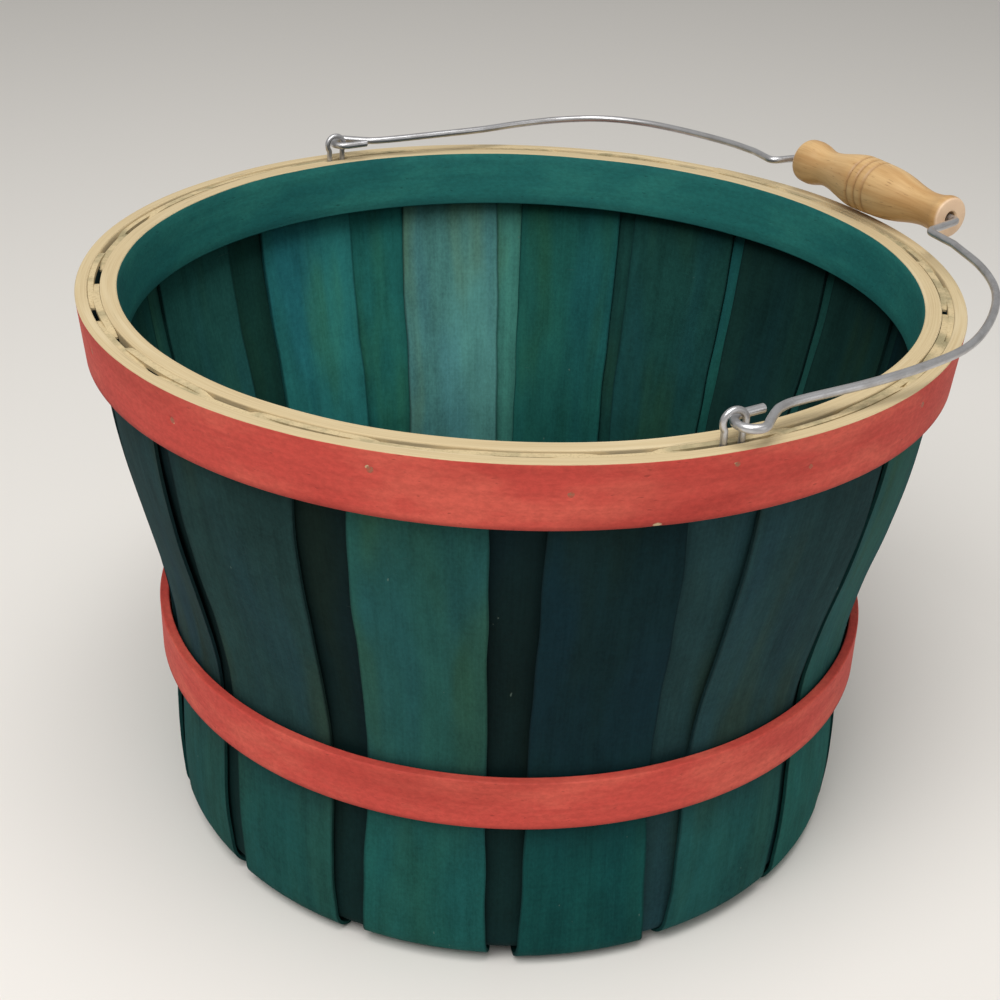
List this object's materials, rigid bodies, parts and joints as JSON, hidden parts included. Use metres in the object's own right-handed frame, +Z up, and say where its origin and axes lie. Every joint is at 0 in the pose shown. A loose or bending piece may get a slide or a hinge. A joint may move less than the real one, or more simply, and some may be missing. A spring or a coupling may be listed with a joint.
{
  "type": "splint basket with bail",
  "caption": "Round stave basket of dyed wood splints held by a rim hoop and a middle hoop, with a swinging wire bail and a turned wooden grip.",
  "frame": {"origin": "underside of the lowest splint on the basket's axis, in the plane that the basket stands on", "axes": "+Z up along the basket's axis, -Y towards the side that the picture shows in front, +X towards its right side, over which the folded bail lies"},
  "size_m": [0.2835, 0.2839, 0.2034],
  "materials": {
    "splint_teal": "dyed teal veneer, matt",
    "splint_navy": "dyed dark navy veneer, matt",
    "splint_grey_green": "dyed grey green veneer, matt",
    "splint_dark": "dyed dark green veneer, matt",
    "splint_bright": "dyed light blue green veneer, matt",
    "hoop_red": "dyed red veneer with raw edges, matt",
    "hoop_teal": "dyed teal veneer with raw edges, matt",
    "wire_galvanised": "galvanised, satin",
    "grip_wood": "plain turned wood, satin",
    "nail_steel": "bare, dull"
  },
  "bodies": {
    "basket": {"splint_outer_1": "splint_navy", "splint_outer_2": "splint_grey_green", "splint_outer_3": "splint_grey_green", "splint_outer_4": "splint_teal", "splint_outer_5": "splint_navy", "splint_outer_6": "splint_grey_green", "splint_outer_7": "splint_teal", "splint_outer_8": "splint_navy", "splint_inner_1": "splint_dark", "splint_inner_2": "splint_dark", "splint_inner_3": "splint_dark", "splint_inner_4": "splint_dark", "splint_inner_5": "splint_bright", "splint_inner_6": "splint_teal", "splint_inner_7": "splint_navy", "splint_inner_8": "splint_dark", "hoop_rim_outer": "hoop_red", "hoop_rim_inner": "hoop_teal", "hoop_middle": "hoop_red", "nail_rim_01": "nail_steel", "nail_rim_02": "nail_steel", "nail_rim_03": "nail_steel", "nail_rim_04": "nail_steel", "nail_rim_05": "nail_steel", "nail_rim_06": "nail_steel", "nail_rim_07": "nail_steel", "nail_rim_08": "nail_steel", "nail_rim_09": "nail_steel", "nail_rim_10": "nail_steel", "nail_rim_11": "nail_steel", "nail_rim_12": "nail_steel", "nail_rim_13": "nail_steel", "nail_rim_14": "nail_steel", "nail_rim_15": "nail_steel", "nail_rim_16": "nail_steel", "nail_rim_17": "nail_steel", "nail_rim_18": "nail_steel", "nail_middle_1": "nail_steel", "nail_middle_2": "nail_steel", "nail_middle_3": "nail_steel", "nail_middle_4": "nail_steel", "nail_middle_5": "nail_steel", "nail_middle_6": "nail_steel", "nail_middle_7": "nail_steel", "nail_middle_8": "nail_steel", "tack_crossing": "nail_steel", "ear_front": "wire_galvanised", "ear_back": "wire_galvanised"},
    "bail": {"bail": "wire_galvanised"},
    "grip": {"grip": "grip_wood"}
  },
  "joints": [
    {"name": "bail_swing", "type": "hinge", "parent": "basket", "child": "bail", "pos_m": [-0.00844, -0.00662, 0.1895], "axis": [0.48, -0.8773, 0], "range_deg": [0, 176.4]},
    {"name": "grip_spin", "type": "hinge", "parent": "bail", "child": "grip", "pos_m": [0.12171, 0.06357, 0.19397], "axis": [0.5215, -0.8532, 0.0014], "continuous": true}
  ]
}
